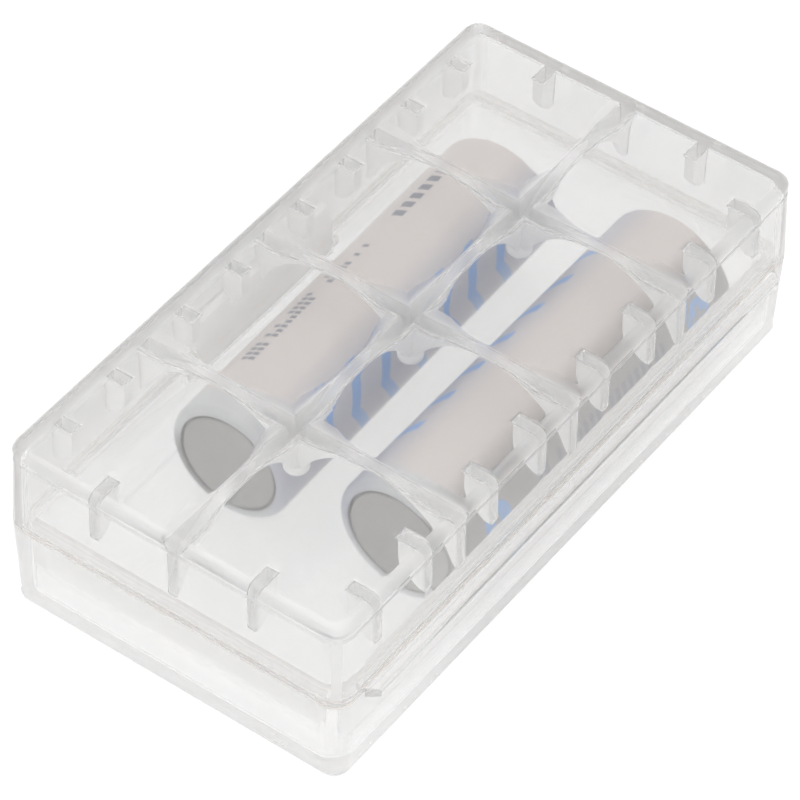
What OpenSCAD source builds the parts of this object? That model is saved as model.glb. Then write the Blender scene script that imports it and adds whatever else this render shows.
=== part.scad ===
// Hinged two-bay storage case for round battery cells, with two loose AA cells in it.
// X runs along the case, the hinge is at +Y, the thumb lip at -Y, and the base rests on Z = 0.

/* [Case] */
// Outside length of the case at the seam
case_length = 79.5; // [76:0.5:100]
// Outside width of the case at the seam
case_width = 41.5; // [40:0.5:60]
// Outside height of the closed case
case_height = 22.1; // [20:0.1:30]
// Height of the seam between base and lid
seam_height = 11.2; // [10:0.1:12.5]
// Radius of the upright corners
corner_radius = 2.2; // [1.6:0.1:5]
// Radius of the rounding along the top and bottom edges
edge_radius = 0.9; // [0.3:0.1:1.2]
// Thickness of the floor
floor_thickness = 1.4; // [1:0.1:2.5]
// Thickness of the base wall at the seam
base_wall = 2.25; // [2.1:0.05:3]
// Thickness of the lid wall
lid_wall = 1.4; // [1:0.1:1.5]
// Thickness of the lid's top plate
lid_plate = 1.4; // [1:0.1:2.5]
// Draft of the base, drawn in on each side at the bottom
base_draft = 0.36; // [0:0.02:0.6]
// Draft of the lid, drawn in on each side at the top
lid_draft = 0.3; // [0:0.02:0.5]
// Gap left along the seam
seam_gap = 0.1; // [0.05:0.05:0.3]

/* [Rim] */
// Height of the inner rim above the seam
rim_height = 1.5; // [0.8:0.1:2.5]
// Clearance between the rim and the lid wall
rim_clearance = 0.12; // [0.1:0.02:0.3]

/* [Ribs] */
// Thickness of the ribs and tabs under the lid
rib_thickness = 1.2; // [0.8:0.1:2]
// Number of ribs across the lid
cross_ribs = 3; // [2:1:5]
// Height of the rib left over the crown of each arch
arch_crown = 0.25; // [0.1:0.05:1]
// Web left between two arches at their springing line
arch_web = 0.15; // [0.1:0.05:0.6]
// Height of the rib ends above the rim
rib_rise = 1.1; // [0.6:0.1:2]
// Height of the star tips above the rib ends
star_rise = 0.4; // [0:0.1:1]
// Diameter of the pip under each star
pip_diameter = 2.8; // [1.6:0.1:4]
// Height of the pip under each star
pip_height = 1.2; // [0.6:0.1:2]
// Height of the tab tips above the rib ends
tab_rise = 1.6; // [0.5:0.1:3]
// How far a tab stands out from the wall
tab_depth = 2.5; // [1.5:0.1:3.5]
// Distance between the two tabs of a pair on a long wall
tab_spacing = 8.2; // [5:0.1:11]

/* [Hinge] */
// Width of the lid's hinge tongue
tongue_width = 23.2; // [16:0.2:30]
// Height of the tongue plate above the seam
tongue_rise = 6; // [4:0.1:7]
// Depth of the hinge axis below the seam
hinge_drop = 1.6; // [1.4:0.05:2]
// Diameter of the hinge stubs
stub_diameter = 1.4; // [1:0.1:1.5]
// Length of each hinge stub
stub_length = 0.9; // [0.6:0.1:1.5]
// Radial clearance of the stubs in their sockets
stub_clearance = 0.05; // [0.02:0.01:0.1]
// Running gap round the tongue
tongue_gap = 0.12; // [0.1:0.01:0.2]

/* [Thumb lip] */
// How far the lip stands out from the lid
lip_out = 1.4; // [0.8:0.1:2.5]
// Height of the lip's root above the seam
lip_root = 0.65; // [0.3:0.05:2]
// How far the lip hangs below the seam
lip_drop = 0.7; // [0.3:0.05:1.5]
// Distance from each end of the case to the lip's root
lip_end = 3.65; // [2.5:0.05:10]
// Gap between the lip and the base wall
lip_gap = 0.15; // [0.1:0.05:0.4]

/* [Cells] */
// Diameter of a cell over its sleeve
cell_diameter = 14.35; // [12:0.05:15]
// Length of a cell with its terminal
cell_length = 50.4; // [44:0.1:54]
// Thickness of the printed sleeve
sleeve_thickness = 0.14; // [0.08:0.01:0.25]
// Thickness of the steel can
can_wall = 0.3; // [0.2:0.05:0.5]
// Diameter of the positive terminal
terminal_diameter = 5.5; // [4.2:0.1:5.5]
// Height of the terminal above the cell's shoulder
terminal_height = 1.4; // [1:0.1:2]
// Radius of the bare steel at the flat end
bare_radius = 5.65; // [4.5:0.05:5.8]
// Gap under a resting cell
cell_gap = 0.12; // [0.1:0.01:0.3]

/* [Cell places] */
// Share of its end play that lies behind the back cell's flat end
back_cell_share = 0.756; // [0.1:0.001:0.9]
// Share of its end play that lies behind the front cell's flat end
front_cell_share = 0.837; // [0.1:0.001:0.9]
// Turn of the back cell about Z, in degrees
back_cell_turn = 1.2; // [-2:0.1:2]
// Turn of the front cell about Z, in degrees
front_cell_turn = 0; // [-2:0.1:2]
// Share of its side play by which the back cell lies towards the hinge
back_cell_shift = -0.18; // [-0.6:0.02:0.6]
// Share of its side play by which the front cell lies towards the lip
front_cell_shift = 0.68; // [-0.6:0.02:0.8]

/* [Hidden] */
$fn = 64;

// Overlap that fuses parts of one moulding, and overshoot of a cut
bite = 0.3;
// Small break along the edges at the seam
seam_break = 0.15;
// Steps in a rounded edge, outside and along the floor
round_steps = 4;
floor_steps = 2;
// Radius of the upright corners inside the base
inner_radius = 1;
// Small ledge where the rounding along the floor meets the upright wall
ledge = 0.04;
// Thickness of the slabs that a shell is hulled from
slab = 0.02;

half_length = case_length / 2;
half_width = case_width / 2;
ceiling = case_height - lid_plate;
lid_x = half_length - lid_wall;
lid_y = half_width - lid_wall;
base_x = half_length - base_wall;
base_y = half_width - base_wall;
rim_top = seam_height + rim_height;

// Ribs: their pitch, and the arches that scallop them
rib_pitch = 2 * lid_x / (cross_ribs + 1);
rib_end = rim_top + rib_rise;
star_tip = rib_end + star_rise;
tab_tip = rib_end + tab_rise;
side_arch = (lid_y - arch_web) / 2;
long_arch = (rib_pitch - arch_web) / 2;
bay_y = lid_y / 2;
first_rib = -lid_x + rib_pitch;
first_bay = -lid_x + rib_pitch / 2;

// Hinge axis, in the middle of the base wall
hinge_y = half_width - base_wall / 2;
hinge_z = seam_height - hinge_drop;
tongue_radius = base_wall / 2 - 0.045;
tongue_top = seam_height + tongue_rise;
socket_depth = stub_length + 0.25;
// Slope of the notch floor, which lets the tongue swing past upright
notch_slope = 20;

// Cells
cell_radius = cell_diameter / 2;
can_radius = cell_radius - sleeve_thickness;
shoulder = cell_length - terminal_height;
cell_z = floor_thickness + cell_gap + cell_radius;
end_play = 2 * base_x - cell_length;
bay_play = base_y / 2 - cell_radius;
back_cell_start = back_cell_share * end_play - base_x;
front_cell_start = front_cell_share * end_play - base_x;
back_cell_y = base_y / 2 + back_cell_shift * bay_play;
front_cell_y = -base_y / 2 - front_cell_shift * bay_play;
// Clearance between the fitted pieces of a cell
fit = 0.01;

// ---- shared shapes ----

// Outline of the case drawn in by inset on all sides
module outline(inset, radius) {
    x = half_length - inset;
    y = half_width - inset;
    square([2 * x, 2 * (y - radius)], center = true);
    square([2 * (x - radius), 2 * y], center = true);
    for (i = [-1, 1], j = [-1, 1])
        translate([i * (x - radius), j * (y - radius)]) circle(r = radius, $fn = 40);
}

// Thin slab of that outline with its lower face at z
module slab_at(z, inset, radius) {
    translate([0, 0, z]) linear_extrude(slab) outline(inset, max(radius, 0.4));
}

// Solid drawn in by draft at the closed end and rounded there, with a small break at the seam.
// It stands on Z = 0 with its closed end down.
module drafted_tub(height, draft) {
    hull() {
        for (i = [0:round_steps]) {
            turn = 90 * i / round_steps;
            inset = draft + edge_radius * (1 - sin(turn));
            slab_at(edge_radius * (1 - cos(turn)), inset, corner_radius - edge_radius * (1 - sin(turn)));
        }
        slab_at(height - seam_break - slab, 0, corner_radius);
        slab_at(height - slab, seam_break, corner_radius - seam_break);
    }
}

// Beam of a polygon drawn in Y and Z, extruded along X over length and centred
module along_x(length) {
    rotate([90, 0, 90]) linear_extrude(length, center = true) children();
}

// ---- base ----

// Everything that is cut away where the tongue and its stubs move
module hinge_space() {
    reach = tongue_radius + tongue_gap;
    translate([0, hinge_y, hinge_z]) {
        along_x(tongue_width + 2 * tongue_gap) {
            circle(r = reach);
            polygon([
                [-base_wall, 0],
                [-base_wall, rim_height + hinge_drop + bite],
                [base_wall, rim_height + hinge_drop + bite],
                [base_wall, -reach - base_wall * tan(notch_slope)],
                [0, -reach],
                [-reach, -reach],
                [-reach, 0],
            ]);
        }
        along_x(tongue_width + 2 * (tongue_gap + socket_depth))
            circle(d = stub_diameter + 2 * stub_clearance);
    }
}

// Rounding of the back edge, which lets the lid wall swing past it
module back_edge_relief() {
    translate([0, hinge_y, hinge_z]) along_x(case_length + 2 * bite)
        difference() {
            translate([0, hinge_drop / 2]) square([base_wall, hinge_drop]);
            circle(r = hinge_drop);
        }
}

module base() {
    color([0.90, 0.91, 0.91, 0.5])
    difference() {
        union() {
            drafted_tub(seam_height, base_draft);
            translate([0, 0, seam_height - bite]) linear_extrude(rim_height + bite)
                outline(lid_wall + rim_clearance, corner_radius - lid_wall / 2);
        }
        translate([0, 0, floor_thickness + edge_radius]) linear_extrude(rim_top)
            outline(base_wall, inner_radius);
        hull() for (i = [0:floor_steps]) {
            turn = 90 * i / floor_steps;
            slab_at(floor_thickness + edge_radius * (1 - cos(turn)),
                base_wall + ledge + edge_radius * (1 - sin(turn)), inner_radius);
        }
        hinge_space();
        back_edge_relief();
    }
}

// ---- lid ----

// Arches over the two rows of cells, which scallop the cross ribs and the side tabs
module side_arches() {
    for (side = [-1, 1])
        translate([0, side * bay_y, ceiling - arch_crown - side_arch])
            along_x(case_length) circle(r = side_arch, $fn = 96);
}

// Arches between the cross ribs, which scallop the long rib and the end tabs
module long_arches() {
    for (i = [0:cross_ribs])
        translate([first_bay + i * rib_pitch, 0, ceiling - arch_crown - long_arch])
            rotate([90, 0, 0]) cylinder(r = long_arch, h = case_width, center = true, $fn = 96);
}

// Tab that stands depth out from a wall along +Y, with a blunt point at its tip
module tab_blank() {
    half = rib_thickness / 2;
    height = ceiling - tab_tip + bite;
    translate([0, tab_depth, tab_tip]) rotate([90, 0, 0]) linear_extrude(tab_depth + bite)
        polygon([
            [-half / 3, 0], [half / 3, 0], [half, half], [half, height], [-half, height], [-half, half],
        ]);
}

module side_tabs() {
    difference() {
        for (i = [0:cross_ribs], step = [-0.5, 0.5], side = [0, 180])
            rotate([0, 0, side])
                translate([first_bay + i * rib_pitch + step * tab_spacing, -lid_y, 0]) tab_blank();
        side_arches();
    }
}

module end_tabs() {
    difference() {
        for (end = [-90, 90], side = [-1, 1])
            rotate([0, 0, end]) translate([side * bay_y, -lid_x, 0]) tab_blank();
        long_arches();
    }
}

module cross_webs() {
    height = ceiling - rib_end + bite;
    difference() {
        for (i = [0:cross_ribs - 1])
            translate([first_rib + i * rib_pitch, 0, rib_end + height / 2])
                cube([rib_thickness, 2 * (lid_y + bite), height], center = true);
        side_arches();
        translate([0, 0, rib_end - bite + (star_rise + bite) / 2])
            cube([case_length, bay_y, star_rise + bite], center = true);
    }
}

module long_web() {
    height = ceiling - rib_end + bite;
    difference() {
        translate([0, 0, rib_end + height / 2])
            cube([2 * (lid_x + bite), rib_thickness, height], center = true);
        long_arches();
        translate([0, 0, rib_end - bite + (star_rise + bite) / 2])
            cube([2 * lid_x - rib_pitch, bay_y, star_rise + bite], center = true);
    }
}

// Pip with a rounded tip under each crossing
module pips() {
    radius = pip_diameter / 2;
    round = radius / 3;
    for (i = [0:cross_ribs - 1])
        translate([first_rib + i * rib_pitch, 0, star_tip]) rotate_extrude() {
            square([radius - round, pip_height]);
            translate([0, round]) square([radius, pip_height - round]);
            intersection() {
                translate([radius - round, round]) circle(r = round, $fn = 32);
                square(radius);
            }
        }
}

// Plate of the tongue with its top corners cut off, and the barrel and stubs on the hinge axis
module tongue() {
    half = tongue_width / 2;
    corner = tongue_rise / 3;
    inner = hinge_y - tongue_radius;
    bevel = lid_y - inner;
    translate([0, hinge_y, hinge_z]) {
        along_x(tongue_width) circle(r = tongue_radius);
        along_x(tongue_width + 2 * stub_length) circle(d = stub_diameter);
    }
    intersection() {
        translate([0, half_width, 0]) rotate([90, 0, 0]) linear_extrude(2 * base_wall)
            polygon([
                [-half, hinge_z], [half, hinge_z], [half, tongue_top - corner],
                [half - 0.7 * corner, tongue_top], [0.7 * corner - half, tongue_top],
                [-half, tongue_top - corner],
            ]);
        along_x(tongue_width)
            polygon([
                [inner, hinge_z], [hinge_y + tongue_radius, hinge_z],
                [hinge_y + tongue_radius, seam_height + 2 * bite], [lid_y + bite, seam_height + 2 * bite],
                [lid_y + bite, tongue_top + bite], [lid_y, tongue_top], [inner, tongue_top - bevel],
            ]);
    }
}

// Lip along the front that a thumb lifts, with slanted ends
module thumb_lip() {
    root = half_length - lip_end;
    tip = root - 0.9 * lip_out;
    top = seam_height + lip_root;
    bottom = seam_height - lip_drop;
    intersection() {
        along_x(case_length)
            polygon([
                [lid_wall / 2 - half_width, top - 0.1],
                [-half_width, top],
                [-half_width - 0.8 * lip_out, top - 0.25],
                [-half_width - lip_out, bottom + 0.25],
                [-half_width - lip_out, bottom],
                [-half_width - lip_gap, bottom],
                [-half_width - lip_gap, seam_height + seam_gap],
                [lid_wall / 2 - half_width, seam_height + seam_gap],
            ]);
        translate([0, 0, bottom - bite]) linear_extrude(lip_drop + lip_root + 2 * bite)
            polygon([
                [-root, lid_wall - half_width], [root, lid_wall - half_width], [root, -half_width],
                [tip, -half_width - lip_out], [-tip, -half_width - lip_out], [-root, -half_width],
            ]);
    }
}

module lid() {
    lid_height = case_height - seam_height - seam_gap;
    color([0.92, 0.93, 0.93, 0.4]) {
        difference() {
            translate([0, 0, case_height]) mirror([0, 0, 1]) drafted_tub(lid_height, lid_draft);
            translate([0, 0, seam_height - bite]) linear_extrude(ceiling - seam_height + bite)
                outline(lid_wall, corner_radius - lid_wall / 2);
        }
        side_tabs();
        end_tabs();
        cross_webs();
        long_web();
        pips();
        tongue();
        thumb_lip();
    }
}

// ---- cells ----

module back_place() {
    translate([back_cell_start, back_cell_y, cell_z])
        rotate([0, 0, back_cell_turn]) rotate([0, 90, 0]) children();
}

module front_place() {
    translate([front_cell_start, front_cell_y, cell_z])
        rotate([0, 0, front_cell_turn]) rotate([0, 90, 0]) children();
}

// The pieces of a cell are turned about Z, with the flat end at Z = 0.
// Heights near the terminal are counted down from the shoulder.
can_top = shoulder - 0.45;
plate_depth = 2.5;
plate_floor = shoulder - plate_depth;
plate_thickness = 0.6;
flange_thickness = 0.3;
flange_width = 1.6;
ring_foot = 0.45;
ring_height = 1.2;
ring_wall = 0.6;
ring_lip = 1.4;
crimp_radius = can_radius - 1.1;
sleeve_fold = 1.8;
corner_round = 1;

module cell_can() {
    color([0.62, 0.62, 0.60]) rotate_extrude() polygon([
        [0, sleeve_thickness], [bare_radius, sleeve_thickness],
        [can_radius - 0.3 * corner_round, 0.35 * corner_round + sleeve_thickness],
        [can_radius, corner_round + sleeve_thickness],
        [can_radius, can_top - 0.6], [can_radius - 0.3, can_top - 0.1], [crimp_radius, can_top],
        [crimp_radius, can_top - can_wall], [can_radius - 0.45, can_top - 0.1 - can_wall],
        [can_radius - can_wall, can_top - 0.7],
        [can_radius - can_wall, corner_round + sleeve_thickness],
        [can_radius - can_wall - 0.6, can_wall + sleeve_thickness],
        [0, can_wall + sleeve_thickness],
    ]);
}

module cell_electrode_roll() {
    bottom = sleeve_thickness + can_wall + 0.05;
    color([0.25, 0.25, 0.27]) translate([0, 0, bottom]) difference() {
        cylinder(r = can_radius - can_wall - 0.7, h = plate_floor - ring_foot - 0.5 - bottom);
        translate([0, 0, -bite]) cylinder(r = 0.9, h = cell_length);
    }
}

// Ring that seals the plate in the can's mouth, with a foot that the plate stands on
module cell_seal_ring() {
    outer = can_radius - can_wall - fit;
    color([0.85, 0.86, 0.88]) translate([0, 0, plate_floor]) difference() {
        translate([0, 0, -ring_foot]) cylinder(r = outer, h = ring_foot + ring_height);
        cylinder(r = outer - ring_wall, h = cell_length);
        translate([0, 0, -cell_length / 2]) cylinder(r = outer - ring_lip, h = cell_length);
    }
}

module cell_seal_plate() {
    color([0.7, 0.7, 0.7]) translate([0, 0, plate_floor + fit]) difference() {
        cylinder(r = can_radius - can_wall - ring_wall - 2 * fit, h = plate_thickness);
        translate([0, 0, -bite]) cylinder(r = 0.7, h = cell_length);
    }
}

// Positive terminal: a drawn cap with a flange on the seal plate and four vent holes
module cell_terminal() {
    radius = terminal_diameter / 2;
    foot = plate_floor + plate_thickness + 2 * fit;
    color([0.78, 0.78, 0.76]) difference() {
        rotate_extrude() polygon([
            [radius - can_wall, foot], [radius + flange_width, foot],
            [radius + flange_width, foot + flange_thickness],
            [radius, foot + flange_thickness], [radius, cell_length - 0.3],
            [radius - 0.3, cell_length], [0, cell_length], [0, cell_length - can_wall],
            [radius - can_wall, cell_length - can_wall],
        ]);
        for (turn = [0, 90])
            rotate([0, 0, turn]) translate([0, 0, foot + flange_thickness + 0.6])
                rotate([90, 0, 0]) cylinder(d = 0.6, h = 2 * terminal_diameter, center = true);
    }
}

module cell_vent_plug() {
    foot = plate_floor + plate_thickness + 2 * fit;
    color([0.15, 0.15, 0.15]) translate([0, 0, foot])
        cylinder(r = terminal_diameter / 2 - can_wall - 0.25, h = cell_length - can_wall - 0.1 - foot);
}

// White ring that insulates the can's edge from the terminal
module cell_washer() {
    color([0.95, 0.95, 0.94]) translate([0, 0, can_top + fit]) difference() {
        cylinder(r = can_radius - 0.7, h = 0.25);
        translate([0, 0, -bite]) cylinder(r = terminal_diameter / 2 + 0.3, h = cell_length);
    }
}

// Printed film that wraps the can and folds over both ends
module cell_sleeve() {
    inside = can_radius + fit;
    washer_top = can_top + 0.25 + 2 * fit;
    color([0.93, 0.92, 0.90]) rotate_extrude() polygon([
        [bare_radius, 0], [can_radius - 0.35 * corner_round, 0.12 * corner_round],
        [can_radius - 0.02 * corner_round, 0.45 * corner_round],
        [cell_radius, corner_round + sleeve_thickness],
        [cell_radius, can_top - 0.6], [can_radius - 0.25, shoulder - 0.12], [can_radius - 0.7, shoulder],
        [can_radius - sleeve_fold, shoulder], [can_radius - sleeve_fold, washer_top],
        [can_radius - 0.7 + fit, washer_top], [can_radius - 0.3 + fit, can_top - 0.1 + fit],
        [inside, can_top - 0.6],
        [inside, corner_round + sleeve_thickness],
        [can_radius - 0.3 * corner_round + fit, 0.35 * corner_round + sleeve_thickness - fit],
        [bare_radius, sleeve_thickness - fit],
    ]);
}

base();
lid();
back_place() cell_can();  // back_cell_can
back_place() cell_electrode_roll();  // back_cell_electrode_roll
back_place() cell_seal_ring();  // back_cell_seal_ring
back_place() cell_seal_plate();  // back_cell_seal_plate
back_place() cell_vent_plug();  // back_cell_vent_plug
back_place() cell_terminal();  // back_cell_terminal
back_place() cell_washer();  // back_cell_washer
back_place() cell_sleeve();  // back_cell_sleeve
front_place() cell_can();  // front_cell_can
front_place() cell_electrode_roll();  // front_cell_electrode_roll
front_place() cell_seal_ring();  // front_cell_seal_ring
front_place() cell_seal_plate();  // front_cell_seal_plate
front_place() cell_vent_plug();  // front_cell_vent_plug
front_place() cell_terminal();  // front_cell_terminal
front_place() cell_washer();  // front_cell_washer
front_place() cell_sleeve();  // front_cell_sleeve
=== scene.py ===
import math

import bmesh
import bpy
from mathutils import Matrix, Vector


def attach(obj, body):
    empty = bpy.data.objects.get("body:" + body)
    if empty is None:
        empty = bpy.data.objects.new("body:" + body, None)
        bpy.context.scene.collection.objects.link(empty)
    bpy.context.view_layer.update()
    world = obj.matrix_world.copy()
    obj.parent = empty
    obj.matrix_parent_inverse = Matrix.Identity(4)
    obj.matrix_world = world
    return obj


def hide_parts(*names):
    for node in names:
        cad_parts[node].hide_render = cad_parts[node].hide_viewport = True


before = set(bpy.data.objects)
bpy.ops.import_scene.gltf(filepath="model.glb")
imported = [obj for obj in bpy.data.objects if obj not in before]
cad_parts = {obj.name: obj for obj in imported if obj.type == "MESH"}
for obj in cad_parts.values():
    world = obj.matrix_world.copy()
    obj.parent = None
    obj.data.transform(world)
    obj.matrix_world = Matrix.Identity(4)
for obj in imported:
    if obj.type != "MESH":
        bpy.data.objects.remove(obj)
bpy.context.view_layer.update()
MM = 0.001

# ---- sizes, in millimetres, as in the CAD source ----
HALF_LENGTH, HALF_WIDTH, HEIGHT = 39.75, 20.75, 22.1
SEAM, SEAM_GAP = 11.2, 0.1
CORNER, EDGE = 2.2, 0.9
FLOOR, BASE_WALL, LID_WALL, LID_PLATE = 1.4, 2.25, 1.4, 1.4
BASE_DRAFT, LID_DRAFT = 0.36, 0.3
RIM_HEIGHT, RIM_CLEARANCE = 1.5, 0.12
CEILING = HEIGHT - LID_PLATE
LID_X, LID_Y = HALF_LENGTH - LID_WALL, HALF_WIDTH - LID_WALL
BASE_X, BASE_Y = HALF_LENGTH - BASE_WALL, HALF_WIDTH - BASE_WALL
RIM_TOP = SEAM + RIM_HEIGHT
RIB_END, STAR_TIP, TAB_TIP = RIM_TOP + 1.1, RIM_TOP + 1.5, RIM_TOP + 2.7
PITCH = LID_X / 2
RIBS = (-PITCH, 0.0, PITCH)
BAYS = tuple(-LID_X + PITCH * (i + 0.5) for i in range(4))
ROW_Y = LID_Y / 2
SIDE_ARCH, LONG_ARCH = (LID_Y - 0.15) / 2, (PITCH - 0.15) / 2
ARCH_CROWN = 0.25
TAB_DEPTH, TAB_SPACING = 2.5, 8.2
HINGE_Y, HINGE_Z = HALF_WIDTH - BASE_WALL / 2, SEAM - 1.6
TONGUE_WIDTH, TONGUE_TOP, TONGUE_RADIUS = 23.2, SEAM + 6, BASE_WALL / 2 - 0.045
HINGE_FRAME = Matrix.Translation((0, HINGE_Y * MM, HINGE_Z * MM)) @ Matrix.Rotation(math.pi / 2, 4, "Y")
LIP_OUT, LIP_END = 1.4, 3.65
CELL_R, CELL_LENGTH, TERMINAL_HEIGHT = 7.175, 50.4, 1.4
SLEEVE = 0.14
CAN_R = CELL_R - SLEEVE
SHOULDER = CELL_LENGTH - TERMINAL_HEIGHT
CELL_Z = FLOOR + 0.12 + CELL_R


# ---- mesh helpers ----

def mesh_object(name, verts, faces, angle=32):
    """A closed mesh from points in millimetres, smooth except along edges sharper than angle."""
    mesh = bpy.data.meshes.new(name)
    mesh.from_pydata([tuple(c * MM for c in v) for v in verts], [], faces)
    mesh.validate()
    obj = bpy.data.objects.new(name, mesh)
    bpy.context.scene.collection.objects.link(obj)
    tidy_mesh(obj, angle)
    return obj


def tidy_mesh(obj, angle=32):
    bm = bmesh.new()
    bm.from_mesh(obj.data)
    bmesh.ops.recalc_face_normals(bm, faces=bm.faces)
    bm.to_mesh(obj.data)
    bm.free()
    obj.data.shade_smooth()
    obj.data.set_sharp_from_angle(angle=math.radians(angle))


def combine(obj, other, operation):
    """Joins other to obj, or cuts it away, and removes other."""
    mod = obj.modifiers.new("join", "BOOLEAN")
    mod.operation, mod.object, mod.solver = operation, other, "MANIFOLD"
    deps = bpy.context.evaluated_depsgraph_get()
    result = bpy.data.meshes.new_from_object(obj.evaluated_get(deps))
    obj.modifiers.clear()
    old, obj.data = obj.data, result
    bpy.data.meshes.remove(old)
    bpy.data.objects.remove(other)
    return obj


def loop_faces(base_a, base_b, count):
    """Quads between two closed loops of count points that start at base_a and base_b."""
    return [(base_a + i, base_a + (i + 1) % count, base_b + (i + 1) % count, base_b + i)
            for i in range(count)]


def prism(name, points, axis, lo, hi, angle=32):
    """Solid of a polygon of (u, v) points drawn out along axis from lo to hi."""
    order = {"x": lambda u, v, w: (w, u, v), "y": lambda u, v, w: (u, w, v),
             "z": lambda u, v, w: (u, v, w)}[axis]
    n = len(points)
    verts = [order(u, v, lo) for u, v in points] + [order(u, v, hi) for u, v in points]
    faces = loop_faces(0, n, n) + [tuple(range(n)), tuple(range(n, 2 * n))]
    return mesh_object(name, verts, faces, angle)


def revolve(name, profile, segments=128, angle=32):
    """Solid of revolution of a closed profile of (radius, height) points about Z."""
    verts, rings = [], []
    for r, z in profile:
        if r < 1e-6:
            rings.append([len(verts)])
            verts.append((0, 0, z))
        else:
            rings.append(list(range(len(verts), len(verts) + segments)))
            turns = [2 * math.pi * i / segments for i in range(segments)]
            verts += [(r * math.cos(t), r * math.sin(t), z) for t in turns]
    faces = []
    for a, b in zip(rings, rings[1:] + rings[:1]):
        if len(a) == 1 and len(b) == 1:
            continue
        for i in range(segments):
            j = (i + 1) % segments
            quad = [a[i % len(a)], a[j % len(a)], b[j % len(b)], b[i % len(b)]]
            faces.append(tuple(dict.fromkeys(quad)))
    return mesh_object(name, verts, faces, angle)


# ---- outlines ----

def perimeter(xs, ys):
    """The places (i, j) on the boundary of a grid, anticlockwise."""
    nx, ny = len(xs), len(ys)
    ring = [(i, 0) for i in range(nx - 1)] + [(nx - 1, j) for j in range(ny - 1)]
    ring += [(i, ny - 1) for i in range(nx - 1, 0, -1)] + [(0, j) for j in range(ny - 1, 0, -1)]
    return ring


def round_corner(x, y, half_x, half_y, radius):
    """Moves a point of a square corner block into the quarter disc there."""
    u, v = (abs(x) - (half_x - radius)) / radius, (abs(y) - (half_y - radius)) / radius
    if u <= 0 or v <= 0:
        return x, y
    reach = max(u, v) / math.hypot(u, v)
    return (math.copysign(half_x - radius + u * reach * radius, x),
            math.copysign(half_y - radius + v * reach * radius, y))


def refit(x, y, old, new):
    """Moves a boundary point of one rounded outline (half_x, half_y, radius) to another."""
    def axis(value, half_old, half_new):
        flat_old, flat_new = half_old - old[2], half_new - new[2]
        size = abs(value)
        if size <= flat_old:
            size = size * flat_new / flat_old
        else:
            size = flat_new + (size - flat_old) * new[2] / old[2]
        return math.copysign(size, value)
    return axis(x, old[0], new[0]), axis(y, old[1], new[1])


# ---- lid ----

WEB_TIP, WEB_ROOT, WEB_ROUND, WEB_FILLET, TAB_FILLET = 0.55, 0.64, 0.14, 1.3, 0.3
WEB_LINES = (0, 0.3, 0.45, WEB_TIP, WEB_ROOT, 0.66, 0.71, 0.79, 0.94, 1.08, 1.3, 1.6, WEB_ROOT + WEB_FILLET)
END_LINES = (-0.5, -0.15, 0, 0.06, 0.085, 0.15, 0.26, 0.06 + TAB_FILLET)
WALL_LINES = (0, 0.02, 0.09, 0.22, 0.45, 0.75)
WALL_FILLET = 0.45


def fillet(gap, radius):
    """Height of a fillet at a distance from the wall that it leans on."""
    if gap >= radius:
        return 0.0
    return radius - math.sqrt(max(0.0, radius * radius - (radius - max(gap, 0.0)) ** 2))


def web_depth(offset, depth, radius=WEB_FILLET):
    """Depth of a web below the ceiling at an offset from its middle plane."""
    offset = abs(offset)
    if offset <= WEB_TIP:
        ease = max(0.0, (offset - 0.3) / (WEB_TIP - 0.3))
        return max(0.0, depth - min(WEB_ROUND, depth / 2) * ease * ease)
    if offset < WEB_ROOT:
        share = (offset - WEB_TIP) / (WEB_ROOT - WEB_TIP)
        top = max(0.0, depth - min(WEB_ROUND, depth / 2))
        return top + (min(radius, depth / 2) - top) * share
    low = min(depth / 2, radius)
    return fillet((offset - WEB_ROOT) * radius / max(low, 0.3), radius) * low / radius


def arch_z(s, centres, radius):
    """Height of the arches' underside above a place along a rib."""
    gap = min(abs(s - c) for c in centres)
    return CEILING - ARCH_CROWN - radius + math.sqrt(max(0.0, radius * radius - gap * gap))


def cross_bottom(y):
    floor = STAR_TIP if abs(y) < ROW_Y else RIB_END
    return max(floor, arch_z(y, (-ROW_Y, ROW_Y), SIDE_ARCH))


def long_bottom(x):
    floor = STAR_TIP if abs(x) < LID_X - PITCH / 2 else RIB_END
    return max(floor, arch_z(x, BAYS, LONG_ARCH))


def tab_end(gap, depth):
    """Depth of a tab at a distance inside its free end, past which it leans out with a fillet."""
    if gap >= 0.5:
        return depth
    if gap >= 0:
        return depth - min(0.25, depth / 4) * (1 - gap / 0.5) ** 2
    edge = -gap
    if edge < 0.06:
        return min(TAB_FILLET, depth)
    return fillet(edge - 0.06, TAB_FILLET)


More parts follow.
